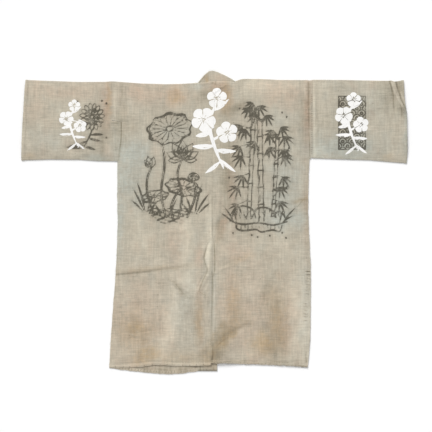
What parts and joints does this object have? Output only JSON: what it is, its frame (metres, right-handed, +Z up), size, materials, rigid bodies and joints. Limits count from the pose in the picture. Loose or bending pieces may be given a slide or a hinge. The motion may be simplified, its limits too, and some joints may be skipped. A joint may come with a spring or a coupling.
{
  "type": "pilgrim jacket",
  "caption": "Unlined pilgrim's jacket of coarse undyed cloth with straight sleeves and a doubled collar band, laid flat with its back upwards.",
  "frame": {"origin": "middle of the outline, on the surface that the jacket lies on", "axes": "+X across the back towards the side that is on the right in the picture, +Y from the hem towards the collar, +Z up from the surface"},
  "size_m": [1.196, 0.9404, 0.0107],
  "materials": {
    "cloth": "matt, coarse plain weave, unevenly browned with age",
    "collar_cloth": "matt, coarse plain weave, doubled"
  },
  "bodies": {
    "root": {"body_length_left": "cloth", "body_length_right": "cloth", "sleeve_left": "cloth", "sleeve_right": "cloth", "collar": "collar_cloth"}
  },
  "joints": []
}
